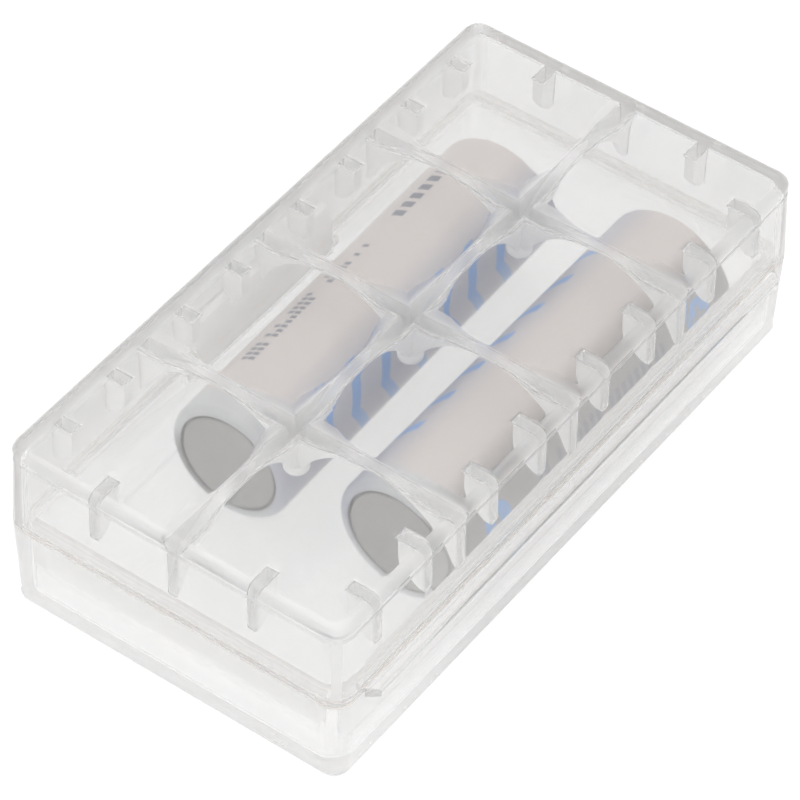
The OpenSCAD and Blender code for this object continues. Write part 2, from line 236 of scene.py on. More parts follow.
def ceiling_depth(x, y):
    """How far the lid's underside lies below its ceiling at a place."""
    qx, qy = abs(x) - (LID_X - 1.5), abs(y) - (LID_Y - 1.5)
    wall = 1.5 - math.hypot(max(qx, 0), max(qy, 0)) - min(max(qx, qy), 0.0)
    depth = fillet(wall, WALL_FILLET)
    for rib in RIBS:
        if abs(x - rib) < WEB_ROOT + WEB_FILLET:
            depth = max(depth, web_depth(x - rib, CEILING - cross_bottom(y)))
    if abs(y) < WEB_ROOT + WEB_FILLET:
        depth = max(depth, web_depth(y, CEILING - long_bottom(x)))
    for bay in BAYS:
        for step in (-TAB_SPACING / 2, TAB_SPACING / 2):
            if abs(x - bay - step) < WEB_ROOT + TAB_FILLET:
                gap = abs(y) - (LID_Y - TAB_DEPTH)
                if gap > -TAB_FILLET - 0.06:
                    bottom = max(TAB_TIP, arch_z(y, (-ROW_Y, ROW_Y), SIDE_ARCH))
                    full = CEILING - bottom
                    web = web_depth(x - bay - step, full, TAB_FILLET)
                    depth = max(depth, min(web, tab_end(gap, full)))
    for row in (-ROW_Y, ROW_Y):
        if abs(y - row) < WEB_ROOT + TAB_FILLET:
            gap = abs(x) - (LID_X - TAB_DEPTH)
            if gap > -TAB_FILLET - 0.06:
                full = CEILING - max(TAB_TIP, arch_z(x, BAYS, LONG_ARCH))
                web = web_depth(y - row, full, TAB_FILLET)
                depth = max(depth, min(web, tab_end(gap, full)))
    return depth


def grid_lines(half, features, ends, step):
    """Sorted grid places: fine round the features and tab ends, and no further apart than step."""
    lines = {0.0}
    for place in features:
        lines |= {place + s * w for w in WEB_LINES for s in (-1, 1)}
    for place in ends:
        lines |= {s * (place - w) for w in END_LINES for s in (-1, 1)}
    lines |= {s * (half - w) for w in WALL_LINES for s in (-1, 1)}
    lines |= {s * (half - 1.5) for s in (-1, 1)}
    lines = sorted(v for v in lines if abs(v) <= half + 1e-9)
    kept = [lines[0]]
    for v in lines[1:]:
        if v - kept[-1] > 0.012:
            kept.append(v)
    kept[-1] = lines[-1]
    out = [kept[0]]
    for v in kept[1:]:
        parts = max(1, math.ceil((v - out[-1]) / step))
        start = out[-1]
        out += [start + (v - start) * (k + 1) / parts for k in range(parts)]
    return out


def lid_shell():
    tabs = [bay + s * TAB_SPACING / 2 for bay in BAYS for s in (-1, 1)]
    xs = grid_lines(LID_X, list(RIBS) + tabs, [LID_X - TAB_DEPTH], 0.9)
    ys = grid_lines(LID_Y, [0, -ROW_Y, ROW_Y], [LID_Y - TAB_DEPTH], 0.9)
    nx, ny = len(xs), len(ys)
    verts = []
    for y in ys:
        for x in xs:
            px, py = round_corner(x, y, LID_X, LID_Y, 1.5)
            verts.append((px, py, CEILING - ceiling_depth(px, py)))
    faces = [(j * nx + i, j * nx + i + 1, (j + 1) * nx + i + 1, (j + 1) * nx + i)
             for j in range(ny - 1) for i in range(nx - 1)]
    ring = perimeter(xs, ys)
    count = len(ring)
    inner = (LID_X, LID_Y, 1.5)
    rim = [verts[j * nx + i] for i, j in ring]
    # The inner wall's top edge follows the field, so its first loop is the field's own boundary.
    previous = [j * nx + i for i, j in ring]
    bottom = SEAM + SEAM_GAP

    def add_loop(outline, z):
        nonlocal previous
        start = len(verts)
        for x, y, _ in rim:
            verts.append((*refit(x, y, inner, outline), z))
        now = list(range(start, start + count))
        for k in range(count):
            m = (k + 1) % count
            faces.append((previous[k], previous[m], now[m], now[k]))
        previous = now

    add_loop(inner, RIM_TOP + 0.6)
    add_loop(inner, bottom + 0.12)
    add_loop((LID_X + 0.1, LID_Y + 0.1, 1.55), bottom)
    add_loop((HALF_LENGTH - 0.15, HALF_WIDTH - 0.15, CORNER - 0.15), bottom)
    add_loop((HALF_LENGTH - 0.04, HALF_WIDTH - 0.04, CORNER - 0.04), bottom + 0.04)
    add_loop((HALF_LENGTH, HALF_WIDTH, CORNER), bottom + 0.15)
    rise = HEIGHT - EDGE - bottom
    for share in (0.5, 1.0):
        inset = LID_DRAFT * share
        add_loop((HALF_LENGTH - inset, HALF_WIDTH - inset, CORNER - inset * 0.3), bottom + rise * share)
    for k in range(1, 9):
        turn = math.radians(90 * k / 8)
        inset = LID_DRAFT + EDGE * (1 - math.cos(turn))
        add_loop((HALF_LENGTH - inset, HALF_WIDTH - inset, max(0.6, CORNER - inset)),
                 HEIGHT - EDGE + EDGE * math.sin(turn))
    add_loop((HALF_LENGTH - 2.2, HALF_WIDTH - 2.2, 0.5), HEIGHT)
    faces.append(tuple(previous))
    return mesh_object("lid_shell", verts, faces)


def star_pip(x):
    """Rounded pip under a crossing, with its root hidden in the webs."""
    profile = [(0, STAR_TIP)]
    for k in range(0, 6):
        turn = math.radians(90 * k / 5)
        profile.append((0.85 + 0.55 * math.sin(turn), STAR_TIP + 0.55 * (1 - math.cos(turn))))
    profile += [(1.38, STAR_TIP + 0.9), (1.2, STAR_TIP + 1.15), (0.8, STAR_TIP + 1.25),
                (0, STAR_TIP + 1.25)]
    pip = revolve("pip", profile, 32)
    pip.data.transform(Matrix.Translation((x * MM, 0, 0)))
    return pip


def tongue():
    half, corner = TONGUE_WIDTH / 2, 2.0
    inner, outer = HINGE_Y - TONGUE_RADIUS, HINGE_Y + TONGUE_RADIUS
    wedge = LID_Y - inner
    section = [(inner, HINGE_Z), (outer, HINGE_Z), (outer, SEAM + 0.6), (LID_Y + 0.3, SEAM + 0.6),
               (LID_Y + 0.3, TONGUE_TOP + 0.3), (LID_Y, TONGUE_TOP), (inner, TONGUE_TOP - wedge)]
    plate = prism("tongue", section, "x", -half, half)
    front = [(-half, HINGE_Z - 3), (half, HINGE_Z - 3), (half, TONGUE_TOP - corner),
             (half - 0.7 * corner, TONGUE_TOP + 0.001), (0.7 * corner - half, TONGUE_TOP + 0.001),
             (-half, TONGUE_TOP - corner)]
    clip = prism("clip", front, "y", HALF_WIDTH - 5, HALF_WIDTH + 2)
    combine(plate, clip, "INTERSECT")
    for radius, reach in ((TONGUE_RADIUS, half), (0.7, half + 0.9)):
        barrel = revolve("barrel", [(0, -reach), (radius - 0.1, -reach), (radius, 0.1 - reach),
                                    (radius, reach - 0.1), (radius - 0.1, reach), (0, reach)], 48)
        barrel.data.transform(HINGE_FRAME)
        combine(plate, barrel, "UNION")
    return plate


def thumb_lip():
    root, top, bottom = HALF_LENGTH - LIP_END, SEAM + 0.65, SEAM - 0.7
    out = -HALF_WIDTH - LIP_OUT
    section = [(LID_WALL / 2 - HALF_WIDTH, top - 0.1), (-HALF_WIDTH - 0.05, top - 0.02),
               (-HALF_WIDTH - 0.8 * LIP_OUT, top - 0.25), (out + 0.08, top - 0.42), (out, top - 0.62),
               (out, bottom + 0.14), (out + 0.04, bottom + 0.04), (out + 0.14, bottom),
               (-HALF_WIDTH - 0.25, bottom), (-HALF_WIDTH - 0.17, bottom + 0.04),
               (-HALF_WIDTH - 0.15, bottom + 0.12), (-HALF_WIDTH - 0.15, SEAM + SEAM_GAP),
               (LID_WALL / 2 - HALF_WIDTH, SEAM + SEAM_GAP)]
    lip = prism("lip", section, "x", -HALF_LENGTH, HALF_LENGTH, 24)
    tip = root - 0.9 * LIP_OUT
    plan = [(-root, LID_WALL - HALF_WIDTH), (root, LID_WALL - HALF_WIDTH), (root, -HALF_WIDTH),
            (tip + 0.15, out + 0.12), (tip, out - 0.001), (-tip, out - 0.001), (-tip - 0.15, out + 0.12),
            (-root, -HALF_WIDTH)]
    return combine(lip, prism("clip", plan, "z", bottom - 1, top + 1), "INTERSECT")


def build_lid():
    lid = lid_shell()
    for rib in RIBS:
        combine(lid, star_pip(rib), "UNION")
    combine(lid, tongue(), "UNION")
    combine(lid, thumb_lip(), "UNION")
    tidy_mesh(lid, 30)
    return lid


# ---- base ----

def build_base():
    steps = 10
    ring = []
    corners = [(1, -1, -90), (1, 1, 0), (-1, 1, 90), (-1, -1, 180)]
    for sx, sy, start in corners:
        ring += [(sx, sy, math.radians(start + 90 * k / steps)) for k in range(steps + 1)]
    count = len(ring)
    verts, faces = [], []

    def add_loop(half_x, half_y, radius, z):
        start = len(verts)
        for sx, sy, turn in ring:
            verts.append((sx * (half_x - radius) + radius * math.cos(turn),
                          sy * (half_y - radius) + radius * math.sin(turn), z))
        if start:
            faces.extend(loop_faces(start - count, start, count))

    # Down the outside from the rim's inner edge: rim, step at the seam, wall, rounded foot.
    rim_inset = LID_WALL + RIM_CLEARANCE
    rim_x, rim_y, rim_r = HALF_LENGTH - rim_inset, HALF_WIDTH - rim_inset, CORNER - LID_WALL / 2
    add_loop(BASE_X, BASE_Y, 1.0, RIM_TOP - 0.1)
    add_loop(BASE_X + 0.03, BASE_Y + 0.03, 1.0, RIM_TOP - 0.03)
    add_loop(BASE_X + 0.1, BASE_Y + 0.1, 1.03, RIM_TOP)
    add_loop(rim_x - 0.12, rim_y - 0.12, rim_r - 0.1, RIM_TOP)
    add_loop(rim_x - 0.03, rim_y - 0.03, rim_r - 0.03, RIM_TOP - 0.03)
    add_loop(rim_x, rim_y, rim_r, RIM_TOP - 0.12)
    add_loop(rim_x, rim_y, rim_r, SEAM + 0.06)
    add_loop(rim_x + 0.06, rim_y + 0.06, rim_r + 0.03, SEAM)
    add_loop(HALF_LENGTH - 0.15, HALF_WIDTH - 0.15, CORNER - 0.15, SEAM)
    add_loop(HALF_LENGTH - 0.04, HALF_WIDTH - 0.04, CORNER - 0.04, SEAM - 0.04)
    add_loop(HALF_LENGTH, HALF_WIDTH, CORNER, SEAM - 0.15)
    for share in (0.5, 1.0):
        inset = BASE_DRAFT * share
        add_loop(HALF_LENGTH - inset, HALF_WIDTH - inset, CORNER - inset * 0.3,
                 SEAM - 0.15 - (SEAM - 0.15 - EDGE) * share)
    for k in range(1, 9):
        turn = math.radians(90 * k / 8)
        inset = BASE_DRAFT + EDGE * (1 - math.cos(turn))
        add_loop(HALF_LENGTH - inset, HALF_WIDTH - inset, max(0.6, CORNER - inset),
                 EDGE * (1 - math.sin(turn)))
    add_loop(HALF_LENGTH - 2.2, HALF_WIDTH - 2.2, 0.5, 0)
    faces.append(tuple(range(len(verts) - count, len(verts))))
    # The inside, from the floor up its rounding to the first loop.
    start = len(verts)
    add_loop(BASE_X - EDGE - 0.6, BASE_Y - EDGE - 0.6, 0.5, FLOOR)
    del faces[-count:]
    faces.append(tuple(range(start, start + count)))
    for k in range(0, 9):
        turn = math.radians(90 * k / 8)
        add_loop(BASE_X - EDGE * (1 - math.sin(turn)), BASE_Y - EDGE * (1 - math.sin(turn)),
                 max(0.5, 1.0 - 0.5 * EDGE * (1 - math.sin(turn))), FLOOR + EDGE * (1 - math.cos(turn)))
    faces.extend(loop_faces(len(verts) - count, 0, count))
    base = mesh_object("base_shell", verts, faces)

    reach = TONGUE_RADIUS + 0.12
    arc = [(HINGE_Y + reach * math.cos(math.radians(a)), HINGE_Z + reach * math.sin(math.radians(a)))
           for a in range(-180, -89, 9)]
    high, wide = RIM_TOP + 0.3, BASE_WALL
    notch = arc + [(HINGE_Y + wide, HINGE_Z - reach - wide * math.tan(math.radians(20))),
                   (HINGE_Y + wide, high), (HINGE_Y - wide, high), (HINGE_Y - wide, HINGE_Z)]
    half = TONGUE_WIDTH / 2 + 0.12
    combine(base, prism("notch", notch, "x", -half, half), "DIFFERENCE")
    socket = revolve("socket", [(0, -half - 1.15), (0.75, -half - 1.15), (0.75, half + 1.15),
                                (0, half + 1.15)], 48)
    socket.data.transform(HINGE_FRAME)
    combine(base, socket, "DIFFERENCE")
    relief = [(HINGE_Y + 1.6 * math.cos(math.radians(a)), HINGE_Z + 1.6 * math.sin(math.radians(a)))
              for a in range(90, 35, -6)]
    relief += [(HALF_WIDTH + 1, relief[-1][1]), (HALF_WIDTH + 1, SEAM + 0.0005), (HINGE_Y, SEAM + 0.0005)]
    combine(base, prism("relief", relief, "x", -HALF_LENGTH - 1, HALF_LENGTH + 1), "DIFFERENCE")
    tidy_mesh(base, 30)
    return base


# ---- cells ----

BARE_R = 6.0  # radius of the film's opening at the flat end
CELL_PARTS = ("can", "electrode_roll", "seal_ring", "seal_plate", "vent_plug", "terminal", "washer",
              "sleeve")
# Start along X, place along Y, turn about Z and roll of each cell about its own axis, in degrees.
CELLS = {"back_cell": (-18.902, 8.8774, 1.2, 78), "front_cell": (-16.91, -10.661, 0.0, -71)}


def arc_points(centre, radius, start, end, count):
    """Points of a circular arc in a profile, from start to end degrees."""
    return [(centre[0] + radius * math.cos(math.radians(start + (end - start) * k / count)),
             centre[1] + radius * math.sin(math.radians(start + (end - start) * k / count)))
            for k in range(count + 1)]


def sleeve_mesh(name):
    """Shrunk film: it wraps the can, folds over both ends, and puckers a little on the shoulder."""
    top = SHOULDER
    outside = [(BARE_R, 0.05), (BARE_R + 0.06, 0.0)] + arc_points((CELL_R - 0.8, 0.8), 0.8, -90, 0, 10)
    outside += [(CELL_R, 4), (CELL_R, 12), (CELL_R, 24), (CELL_R, 36), (CELL_R, top - 2.4)]
    outside += [(CELL_R, top - 1.05)] + arc_points((CELL_R - 0.7, top - 0.85), 0.7, 0, 60, 6)
    outside += [(CAN_R - 0.7, top - 0.03), (CAN_R - 1.0, top), (CAN_R - 1.75, top),
                (CAN_R - 1.8, top - 0.04)]
    inside = [(CAN_R - 1.8, top - 0.13), (CAN_R - 0.72, top - 0.14), (CAN_R - 0.3, top - 0.5),
              (CAN_R + 0.005, top - 1.0), (CAN_R + 0.005, 1.2), (CAN_R - 0.3, 0.48), (BARE_R, 0.14)]
    obj = revolve(name, outside + inside, 160, 40)
    for v in obj.data.vertices:
        x, y, z = (c / MM for c in v.co)
        radius, turn = math.hypot(x, y), math.atan2(y, x)
        near = max(0.0, 1 - z / 1.6) + max(0.0, 1 - abs(z - top + 0.5) / 0.8)
        pucker = 0.022 * near * (math.sin(23 * turn) + 0.6 * math.sin(37 * turn + 1))
        wave = 0.012 * math.sin(3 * turn + z * 0.35) * math.sin(0.2 * z + 1.3)
        if 1.2 < z < top - 1.2 and radius < CELL_R - 0.01:
            wave = 0.0
        scale = (radius - abs(pucker) + min(0.0, wave)) / radius
        v.co.x, v.co.y = v.co.x * scale, v.co.y * scale
    return obj


def can_mesh(name):
    """Drawn can with a flat plateau inside a shallow groove at the closed end, and a crimp at the mouth."""
    wall = 0.3
    outside = [(0, 0.05), (3.0, 0.04), (5.4, 0.03)] + arc_points((5.45, 0.31), 0.28, -90, -10, 7)
    outside += [(5.75, 0.4), (5.8, 0.4), (5.84, 0.2), (5.88, 0.16), (5.97, 0.18)]
    outside += arc_points((CAN_R - 0.98, 1.2), 0.94, -78, 0, 8)
    crimp = SHOULDER - 0.45
    outside += [(CAN_R - 0.04, 20), (CAN_R - 0.04, crimp - 0.62), (CAN_R - 0.3, crimp - 0.1),
                (CAN_R - 1.1, crimp)]
    inside = [(CAN_R - 1.1, crimp - wall), (CAN_R - 0.5, crimp - 0.12 - wall),
              (CAN_R - 0.36, crimp - 0.8), (CAN_R - 0.36, 1.4), (CAN_R - 1.0, 0.66), (0, 0.5)]
    return revolve(name, outside + inside, 160, 28)


def terminal_mesh(name):
    """Positive cap: a drawn button with rounded edges on a flange."""
    radius, foot = 2.75, SHOULDER - 1.88
    outside = [(0, CELL_LENGTH - 0.03), (1.6, CELL_LENGTH - 0.01), (radius - 0.35, CELL_LENGTH)]
    outside += arc_points((radius - 0.32, CELL_LENGTH - 0.32), 0.32, 80, 0, 6)
    outside += [(radius, foot + 0.5), (radius + 0.08, foot + 0.36), (radius + 0.2, foot + 0.3),
                (radius + 1.6, foot + 0.3), (radius + 1.6, foot)]
    inside = [(radius - 0.3, foot), (radius - 0.3, CELL_LENGTH - 0.5), (0, CELL_LENGTH - 0.33)]
    return revolve(name, outside + inside, 96, 28)


def washer_mesh(name):
    low = SHOULDER - 0.43
    return revolve(name, [(3.08, low + 0.04), (3.12, low), (CAN_R - 0.7, low), (CAN_R - 0.7, low + 0.25),
                          (3.16, low + 0.25), (3.08, low + 0.2)], 96, 40)


def cell_matrix(side):
    start, y, turn, roll = CELLS[side]
    return (Matrix.Translation((start * MM, y * MM, CELL_Z * MM))
            @ Matrix.Rotation(math.radians(turn), 4, "Z") @ Matrix.Rotation(math.pi / 2, 4, "Y")
            @ Matrix.Rotation(math.radians(roll + 180), 4, "Z"))


def build_cell(side, looks):
    makers = {"sleeve": sleeve_mesh, "can": can_mesh, "terminal": terminal_mesh, "washer": washer_mesh}
    for part in CELL_PARTS:
        node = f"{side}_{part}"
        if part in makers:
            piece = makers[part](f"{node}_form")
            piece.data.transform(cell_matrix(side))
            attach(piece, side)
            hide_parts(node)
            dress(piece, looks[part])
        else:
            dress(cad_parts[node], looks[part])


# ---- materials ----

class Maths:
    """Short way to write sums of Math nodes. Each call gives the new node's output."""

    def __init__(self, nodes, links):
        self.nodes, self.links = nodes, links

    def __call__(self, operation, *values, clamp=False):
        node = self.nodes.new("ShaderNodeMath")
        node.operation, node.use_clamp = operation, clamp
        for slot_in, value in zip(node.inputs, values):
            if isinstance(value, (int, float)):
                slot_in.default_value = value
            else:
                self.links.new(value, slot_in)
        return node.outputs[0]

    def within(self, value, middle, reach):
        """1 where value is within reach of middle, with an edge that is softly printed."""
        gap = self("SUBTRACT", reach, self("ABSOLUTE", self("SUBTRACT", value, middle)))
        return self("MULTIPLY_ADD", gap, 14.0, 0.5, clamp=True)

    def slope(self, value, reach, steepness):
        """1 round 0, falling to 0 where value is reach away from it."""
        gap = self("SUBTRACT", reach, self("ABSOLUTE", value))
        return self("MULTIPLY_ADD", gap, steepness, 0.0, clamp=True)

    def any(self, *masks):
        total = masks[0]
        for mask in masks[1:]:
            total = self("MAXIMUM", total, mask)
        return total

    def all(self, *masks):
        total = masks[0]
        for mask in masks[1:]:
            total = self("MULTIPLY", total, mask)
        return total


def new_material(name):
    mat = bpy.data.materials.new(name)
    mat.use_nodes = True
    nodes = mat.node_tree.nodes
    return mat, nodes, mat.node_tree.links, nodes["Principled BSDF"], nodes["Material Output"]


def noise(nodes, links, coords, scale, detail=3.0):
    tex = nodes.new("ShaderNodeTexNoise")
    tex.inputs["Scale"].default_value = scale
    tex.inputs["Detail"].default_value = detail
    links.new(coords, tex.inputs["Vector"])
    return tex.outputs["Fac"]


def mix_colours(nodes, links, share, first, second):
    """A mix of two colours: the first where share is 0, and the second where it is 1."""
    node = nodes.new("ShaderNodeMix")
    node.data_type = "RGBA"
    links.new(share, node.inputs["Factor"])
    for name, colour in (("A", first), ("B", second)):
        if isinstance(colour, tuple):
            node.inputs[name].default_value = (*colour, 1)
        else:
            links.new(colour, node.inputs[name])
    return node.outputs["Result"]


def bump(nodes, links, height, shader, distance, strength):
    node = nodes.new("ShaderNodeBump")
    node.inputs["Strength"].default_value = strength
    node.inputs["Distance"].default_value = distance
    links.new(height, node.inputs["Height"])
    links.new(node.outputs["Normal"], shader.inputs["Normal"])


def object_coords(nodes):
    return nodes.new("ShaderNodeTexCoord").outputs["Object"]


def hanging_mask(sums, place):
    """1 on the ribs, tabs and pips that hang from the lid's ceiling, and 0 on its plate and walls."""
    masks = []
    for axis, limit in (("X", LID_X - 0.25), ("Y", LID_Y - 0.25)):
        inside = sums("SUBTRACT", limit * MM, sums("ABSOLUTE", place.outputs[axis]))
        masks.append(sums("GREATER_THAN", inside, 0.0))
    below = sums("SUBTRACT", (CEILING - 0.02) * MM, place.outputs["Z"])
    return sums.all(sums("MULTIPLY", below, 1800.0, clamp=True), *masks)


def band_mask(sums, place, low, high):
    """1 between two heights, given in millimetres."""
    return sums.all(sums("GREATER_THAN", place.outputs["Z"], low * MM),
                    sums("LESS_THAN", place.outputs["Z"], high * MM))


CLEAR_ROUGHNESS, FROST_ROUGHNESS = 0.06, 0.45
HANGING_WHITENESS = 0.6
GRIME_COLOUR = (0.90, 0.80, 0.72)


def plastic_material(name, is_lid, scatter, absorb):
    """Translucent polypropylene: a clear skin with a faint moulded waviness round a milky body.

    scatter and absorb are the densities of the milk and of the grey in it, per metre.
    """
    mat, nodes, links, glass, out = new_material(name)
    glass.inputs["Transmission Weight"].default_value = 1.0
    glass.inputs["IOR"].default_value = 1.49
    coords = object_coords(nodes)
    sums = Maths(nodes, links)
    place = nodes.new("ShaderNodeSeparateXYZ")
    links.new(coords, place.inputs[0])
    if is_lid:
        hanging = hanging_mask(sums, place)
        corner = band_mask(sums, place, CEILING - 0.5, CEILING - 0.01)
        edge = sums.all(band_mask(sums, place, SEAM, SEAM + SEAM_GAP + 0.13),
                        sums("GREATER_THAN", place.outputs["Y"], -HALF_WIDTH * MM))
        tongue_face = (HINGE_Y - TONGUE_RADIUS - 0.2) * MM
        hinge_side = sums.all(sums("GREATER_THAN", place.outputs["Y"], tongue_face),
                              sums("LESS_THAN", place.outputs["Y"], (LID_Y + 0.1) * MM))
        frost = sums.any(sums("MULTIPLY", hanging, 0.85), corner, edge, hinge_side)
        clear = sums("MULTIPLY_ADD", hanging, -HANGING_WHITENESS, 1.0)
        links.new(clear, glass.inputs["Transmission Weight"])
        warm = edge
    else:
        # Fine scratches in patches on the floor, where cells have rubbed
        trace = sums("ABSOLUTE", sums("SUBTRACT", noise(nodes, links, coords, 240, 1), 0.5))
        line = sums("MULTIPLY_ADD", trace, -90.0, 1.0, clamp=True)
        patch = sums("GREATER_THAN", noise(nodes, links, coords, 110, 0), 0.56)
        scratch = sums.all(line, patch, band_mask(sums, place, FLOOR - 0.1, FLOOR + 0.1))
        seam = band_mask(sums, place, SEAM - 0.14, SEAM + 0.05)
        frost = sums.any(seam, scratch)
        warm = sums.any(band_mask(sums, place, SEAM - 0.2, SEAM + 0.05),
                        sums("MULTIPLY", band_mask(sums, place, RIM_TOP - 0.3, RIM_TOP + 0.1), 0.6))
    links.new(sums("MULTIPLY_ADD", frost, FROST_ROUGHNESS, CLEAR_ROUGHNESS), glass.inputs["Roughness"])
    # A little grime in the seam
    specks = sums("MULTIPLY_ADD", noise(nodes, links, coords, 500), 1.6, -0.35)
    grime = sums("MULTIPLY", warm, specks, clamp=True)
    tone = mix_colours(nodes, links, grime, (1.0, 1.0, 0.997), GRIME_COLOUR)
    links.new(tone, glass.inputs["Base Color"])
    bump(nodes, links, noise(nodes, links, coords, 60, 2), glass, 0.00001, 0.5)
    milk = nodes.new("ShaderNodeVolumeScatter")
    milk.inputs["Color"].default_value = (1, 1, 1, 1)
    milk.inputs["Density"].default_value = scatter
    milk.inputs["Anisotropy"].default_value = 0.3
    tint = nodes.new("ShaderNodeVolumeAbsorption")
    tint.inputs["Color"].default_value = (0.0, 0.0, 0.0, 1)
    tint.inputs["Density"].default_value = absorb
    both = nodes.new("ShaderNodeAddShader")
    links.new(milk.outputs[0], both.inputs[0])
    links.new(tint.outputs[0], both.inputs[1])
    links.new(both.outputs[0], out.inputs["Volume"])
    return mat


def solid_material(name, colour, roughness, metallic=0.0, grain=200, depth=0.00002, spread=0.06):
    """A solid finish with a fine grain and a slight change of tone."""
    mat, nodes, links, shader, _ = new_material(name)
    shader.inputs["Roughness"].default_value = roughness
    shader.inputs["Metallic"].default_value = metallic
    coords = object_coords(nodes)
    darker = tuple(c * (1 - spread) for c in colour)
    lighter = tuple(min(1.0, c * (1 + spread)) for c in colour)
    tone = mix_colours(nodes, links, noise(nodes, links, coords, grain), darker, lighter)
    links.new(tone, shader.inputs["Base Color"])
    bump(nodes, links, noise(nodes, links, coords, grain * 4), shader, depth, 0.4)
    return mat


# The print: places along the cell and sizes are in millimetres, and angles round it in degrees.
FILM_MIDDLE, FILM_REACH = 27.0, 24.7
CHEVRON_WIDTH, CHEVRON_LINE, CHEVRON_PITCH, CHEVRON_LEAN = 4.7, 0.75, 2.6, 0.55
PRINT_SIDE = 142
DISC_R, SIGN_REACH, SIGN_LINE = 2.1, 1.25, 0.28
DISCS = ((7.0, False), (42.8, True))  # place along, and whether the sign is a plus
# Angle, half height, pitch, start, end and seed of each row of bars
BAR_ROWS = ((PRINT_SIDE, 1.15, 1.15, 11, 39, 3), (-104, 0.42, 0.8, 8, 30, 11),
            (-112, 0.42, 0.8, 8, 24, 29), (-104, 0.8, 1.6, 33, 43, 5))
COOL_WHITE, WARM_WHITE = (0.55, 0.56, 0.575), (0.605, 0.56, 0.545)
# Painted shade for the film's flanks: the first colour is also a printed cool tint
CHEVRON_TINT_AND_SHADE, FLANK_PAINTED_SHADE = (0.40, 0.41, 0.49), (0.17, 0.163, 0.163)
BLUE_INK, DARK_INK = (0.09, 0.29, 0.66), (0.10, 0.11, 0.17)


def film_material(side):
    """White shrink film with a generic print: chevrons, bars and polarity marks, and painted shade on its
    flanks.
    """
    mat, nodes, links, shader, _ = new_material(f"printed_film_{side}")
    sums = Maths(nodes, links)
    to_cell = nodes.new("ShaderNodeMapping")  # from the model's frame to the cell's own
    to_cell.vector_type = "TEXTURE"
    matrix = cell_matrix(side)
    to_cell.inputs["Location"].default_value = matrix.to_translation()
    to_cell.inputs["Rotation"].default_value = matrix.to_euler()
    links.new(object_coords(nodes), to_cell.inputs["Vector"])
    coords = to_cell.outputs["Vector"]
    split = nodes.new("ShaderNodeSeparateXYZ")
    links.new(coords, split.inputs[0])
    along = sums("MULTIPLY", split.outputs["Z"], 1000.0)
    turn = sums("ARCTAN2", split.outputs["Y"], split.outputs["X"])
    round_mm = sums("MULTIPLY", turn, CELL_R)

    def offset(degrees):
        """Distance round the cell from a line at that angle, in millimetres."""
        half = math.pi * CELL_R
        raw = sums("SUBTRACT", round_mm, math.radians(degrees) * CELL_R)
        return sums("WRAP", raw, half, -half)

    # Chevrons in blue
    v = offset(0)
    lean = sums("SUBTRACT", along, sums("MULTIPLY", sums("ABSOLUTE", v), CHEVRON_LEAN))
    phase = sums("PINGPONG", sums("ADD", lean, 0.6), CHEVRON_PITCH)
    blue = [sums.all(sums.within(phase, CHEVRON_PITCH, CHEVRON_LINE),
                     sums.within(v, 0, CHEVRON_WIDTH), sums.within(along, 25, 17.5))]
    # Polarity discs, each with its sign left white
    w = offset(PRINT_SIDE)
    for place, plus in DISCS:
        du = sums("SUBTRACT", along, place)
        far = sums("SQRT", sums("ADD", sums("MULTIPLY", du, du), sums("MULTIPLY", w, w)))
        sign = sums.all(sums.within(w, 0, SIGN_REACH), sums.within(du, 0, SIGN_LINE))
        if plus:
            upright = sums.all(sums.within(du, 0, SIGN_REACH), sums.within(w, 0, SIGN_LINE))
            sign = sums.any(sign, upright)
        blue.append(sums.all(sums.within(far, 0, DISC_R), sums("SUBTRACT", 1.0, sign)))
    # Dark bars in rows, some of them left out
    dark = []
    for degrees, height, pitch, start, end, seed in BAR_ROWS:
        step = sums("DIVIDE", along, pitch)
        chance = nodes.new("ShaderNodeTexWhiteNoise")
        chance.noise_dimensions = "1D"
        links.new(sums("ADD", sums("FLOOR", step), seed + 0.5), chance.inputs["W"])
        on = sums("GREATER_THAN", chance.outputs["Value"], 0.34)
        bar = sums.within(sums("FRACT", step), 0.5, 0.3)
        dark.append(sums.all(sums.within(offset(degrees), 0, height), on, bar,
                             sums.within(along, (start + end) / 2, (end - start) / 2)))
    # A cool white at the ends and a warmer one between, a little uneven
    middle = sums.slope(sums("SUBTRACT", along, FILM_MIDDLE), FILM_REACH, 0.6)
    uneven = sums("MULTIPLY_ADD", noise(nodes, links, coords, 160), 0.3, 0.85)
    colour = mix_colours(nodes, links, sums("MULTIPLY", middle, uneven), COOL_WHITE, WARM_WHITE)
    # The side with the chevrons is cooler and darker, a printed cool tint with painted shade, and the side
    # with the discs greyer, which is painted shade on that flank
    for line, reach, steepness, flank_shade_colour in ((v, 7.5, 0.22, CHEVRON_TINT_AND_SHADE),
                                           (offset(150), 7.0, 0.3, FLANK_PAINTED_SHADE)):
        shade = sums("MULTIPLY", sums.slope(line, reach, steepness), 0.8)
        colour = mix_colours(nodes, links, shade, colour, flank_shade_colour)
    for mask, ink in ((sums.any(*blue), BLUE_INK), (sums.any(*dark), DARK_INK)):
        wear = sums("MULTIPLY_ADD", noise(nodes, links, coords, 900), 0.25, 0.8)
        colour = mix_colours(nodes, links, sums("MULTIPLY", mask, wear), colour, ink)
    links.new(colour, shader.inputs["Base Color"])
    shader.inputs["Roughness"].default_value = 0.3
    bump(nodes, links, noise(nodes, links, coords, 700), shader, 0.00001, 0.4)
    return mat


# ---- stage, lamps and camera ----

# Strength of the floor's glow as the camera sees it, through the plastic, and mirrored in a wall
GLOW_SEEN, GLOW_THROUGH, GLOW_MIRRORED = 1.04, 0.95, 1.02
GLOW_SHARE = 0.85


